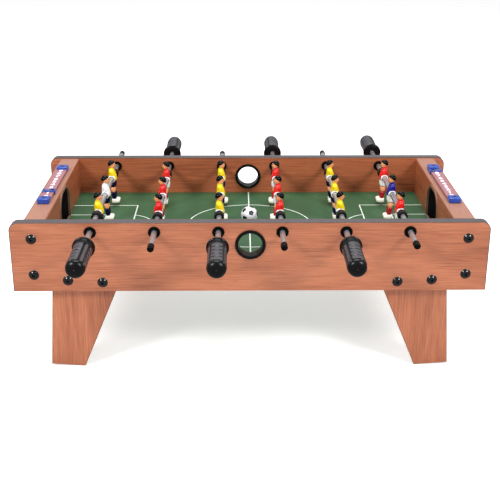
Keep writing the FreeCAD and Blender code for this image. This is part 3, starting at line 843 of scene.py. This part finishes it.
def figurePattern():
    look = figure
    tone = {name: number for number, name in enumerate(figurePaints)}
    bm = bmesh.new()
    loft(bm, look["shirt"], 20, tone["shirt"], 2.8)
    loft(bm, look["collar"], 16, tone["shirt"], 2.2)
    loft(bm, look["neck"], 12, tone["skin"], 2.0)
    loft(bm, look["head"], 16, tone["skin"], 2.1)
    for side in (-1, 1):
        loft(bm, moved(look["arm"], side * look["armY"]), 12, tone["shirt"], 2.2)
        loft(bm, moved(look["thigh"], side * look["legY"]), 12, tone["skin"], 2.2)
        loft(bm, moved(look["sock"], side * look["legY"]), 12, tone["socks"], 2.2)
        loft(bm, moved(look["shoe"], side * look["shoeY"]), 16, tone["cream"], 3.0, "x")
        for feature, paintName in (("ear", "skin"), ("eye", "hair")):
            (x, y, z), half = look[feature]
            blob(bm, (x, side * y, z), half, tone[paintName])
    loft(bm, look["shorts"], 24, tone["shorts"], 3.0, pinch=0.1)
    blob(bm, *look["nose"], tone["skin"])
    blob(bm, *look["mouth"], tone["mouth"])
    # hair: a cap cut along the hairline, with a lip over the forehead
    cap = blob(bm, *look["hair"], tone["hair"], 24)
    geometry = cap + list({edge for vert in cap for edge in vert.link_edges}) + \
        list({face for vert in cap for face in vert.link_faces})
    place, slant = look["hairline"]
    cut = bmesh.ops.bisect_plane(bm, geom=geometry, dist=0.0001, plane_co=place, plane_no=slant,
                                 clear_inner=True)["geom_cut"]
    rim = [part for part in cut if isinstance(part, bmesh.types.BMEdge)]
    lip = bmesh.ops.extrude_edge_only(bm, edges=rim)["geom"]
    lipVerts = [part for part in lip if isinstance(part, bmesh.types.BMVert)]
    bmesh.ops.scale(bm, vec=[look["lip"]] * 3, space=Matrix.Translation(look["lipMiddle"]), verts=lipVerts)
    fresh = set(lipVerts)
    bmesh.ops.contextual_create(bm, geom=[part for part in lip if isinstance(part, bmesh.types.BMEdge)
                                          and part.verts[0] in fresh and part.verts[1] in fresh])
    for vert in lipVerts:
        for face in vert.link_faces:
            face.material_index = tone["hair"]
    lathe(bm, look["boss"], 28, tone["white"], closed=True)
    bmesh.ops.recalc_face_normals(bm, faces=bm.faces)
    return bm


def players(node, name, body, colours, spots):
    axis = middleOf(body.replace("_assembly", "_tube"))
    facing = middleOf(node).x > axis.x
    bm = bmesh.new()
    for y in spots:
        stamp(bm, figureMade, Vector((axis.x, y, axis.z)), 0.0 if facing else math.pi)
    finishes = [paints[colours.get(part, part)] for part in figurePaints]
    makePiece(bm, name, finishes, body, [node], smoothing=1, merge=0.0001)


teams = {"yellow_team": {"shirt": "yellow", "shorts": "navy", "socks": "navy"},
         "red_team": {"shirt": "red", "shorts": "white", "socks": "darkRed"}}
keepers = {1: ("white", "white_keeper"), 6: ("blue", "blue_keeper")}
figureMade = figurePattern()
for number in range(1, 7):
    teamSlot = "yellow_team" if number % 2 else "red_team"
    team = teams[teamSlot]
    body = "rod_%d_assembly" % number
    node = "rod_%d_players" % number
    low, high = boxOf(node)
    middleY = (low.y + high.y) / 2
    spacing = (high.y - low.y) / 2 - figure["torsoHalf"]
    spots = [middleY - spacing, middleY + spacing]
    if number in keepers:
        shirt, keeperSlot = keepers[number]
        players("rod_%d_goalkeeper" % number, "rod%dGoalkeeper" % number, body, dict(team, shirt=shirt),
                [middleY])
    else:
        spots.append(middleY)
    players(node, "rod%dPlayers" % number, body, team, spots)
figureMade.free()
print("players done")


# ball: twelve dark patches and twenty light ones, with sunk seams

ballLook = {"cuts": 13, "seam": 0.16, "seamWidth": 0.03, "tilt": (2.767, -0.963, 2.307)}
ballWhite = plasticFinish("ballWhite", paint(244, 242, 250), roughness=0.34, spread=0.12, coat=0.1,
                          shade=0.04)
ballBlack = plasticFinish("ballBlack", paint(10, 10, 13), roughness=0.34, spread=0.12, coat=0.1, shade=0.3)


def ball():
    low, high = boxOf("ball")
    middle = (low + high) / 2
    radius = (high.x - low.x) / 2
    look = ballLook
    bm = bmesh.new()
    bmesh.ops.create_icosphere(bm, subdivisions=1, radius=radius)
    side = next(iter(bm.edges)).calc_length()
    # cutting the corners back by a third of an edge leaves twelve pentagons and twenty hexagons
    bmesh.ops.bevel(bm, geom=list(bm.verts) + list(bm.edges), offset=side / 3, offset_type="OFFSET",
                    segments=1, profile=0.5, affect="VERTICES", clamp_overlap=False, material=-1)
    patches = []
    for face in bm.faces:
        face.normal_update()
        patches.append((face.normal.copy(), face.normal.dot(face.calc_center_median())))
        face.material_index = 1 if len(face.verts) == 5 else 0
    bmesh.ops.poke(bm, faces=list(bm.faces))
    bmesh.ops.subdivide_edges(bm, edges=list(bm.edges), cuts=look["cuts"], use_grid_fill=True)
    for vert in bm.verts:
        way = vert.co.normalized()
        reach = sorted((way.dot(normal) / plane for normal, plane in patches), reverse=True)
        gap = (reach[0] - reach[1]) * radius
        vert.co = way * (radius - look["seam"] * math.exp(-(gap / look["seamWidth"]) ** 2))
    for axis, angle in zip("XYZ", look["tilt"]):
        bmesh.ops.rotate(bm, cent=(0, 0, 0), matrix=Matrix.Rotation(angle, 3, axis), verts=bm.verts)
    bmesh.ops.translate(bm, vec=middle, verts=bm.verts)
    makePiece(bm, "playBall", [ballWhite, ballBlack], "ball", ["ball"], crease=80.0)


ball()
print("ball done")


# floor, light and camera

white = (1.0, 1.0, 1.0, 1.0)
studio = {"floor": paint(246, 246, 246), "glow": 0.5, "world": 0.45, "size": 16.0, "aim": (0.0, 0.0, 0.15),
          # each lamp is (place, size, power)
          "lamps": [((-1.5, -1.6, 1.6), 0.6, 32.0), ((1.5, -1.6, 1.6), 0.6, 32.0),
                    ((0.0, 0.3, 2.4), 1.4, 56.0)]}
floorBm = bmesh.new()
bmesh.ops.create_grid(floorBm, x_segments=1, y_segments=1, size=studio["size"])
floorMesh = bpy.data.meshes.new("studioFloor")
floorBm.to_mesh(floorMesh)
floorBm.free()
floorPaper = plasticFinish("floorPaper", studio["floor"], roughness=0.8, grain=0.00001, shade=0.01)
floorPaper.shader.inputs["Emission Color"].default_value = white
floorPaper.shader.inputs["Emission Strength"].default_value = studio["glow"]
floorMesh.materials.append(floorPaper.material)
floor = bpy.data.objects.new("studioFloor", floorMesh)
floor.visible_glossy = False  # keeps the black plastics dark underneath
scene.collection.objects.link(floor)
world = bpy.data.worlds.new("studio")
scene.world = world
world.use_nodes = True
sky = world.node_tree.nodes["Background"]
sky.inputs["Color"].default_value = white
sky.inputs["Strength"].default_value = studio["world"]
for number, (spot, size, power) in enumerate(studio["lamps"]):
    light = bpy.data.lights.new("softbox%d" % number, "AREA")
    light.energy = power
    light.size = size
    lamp = bpy.data.objects.new("softbox%d" % number, light)
    lamp.location = spot
    lamp.rotation_euler = (Vector(studio["aim"]) - Vector(spot)).to_track_quat("-Z", "Y").to_euler()
    scene.collection.objects.link(lamp)
scene.view_settings.view_transform = "Standard"
scene.view_settings.look = "None"

view = {"place": (-0.0180, -1.4609, 0.6946), "lens": 69.42, "sensor": 36.0, "near": 0.05,
        "yaw": 0.0135871, "pitch": 0.3716279, "roll": 0.0022382}
yaw, dip, roll = view["yaw"], view["pitch"], view["roll"]
ahead = Vector((math.sin(yaw) * math.cos(dip), math.cos(yaw) * math.cos(dip), -math.sin(dip)))
level = Vector((math.cos(yaw), -math.sin(yaw), 0.0))
upward = level.cross(ahead)
right = level * math.cos(roll) + upward * math.sin(roll)
upward = upward * math.cos(roll) - level * math.sin(roll)
lens = bpy.data.cameras.new("camera")
lens.lens = view["lens"]
lens.sensor_width = view["sensor"]
lens.clip_start = view["near"]
camera = bpy.data.objects.new("camera", lens)
turned = Matrix((right, upward, -ahead)).transposed().to_4x4()
camera.matrix_world = Matrix.Translation(view["place"]) @ turned
scene.collection.objects.link(camera)
scene.camera = camera
print("studio done")

bpy.context.view_layer.update()
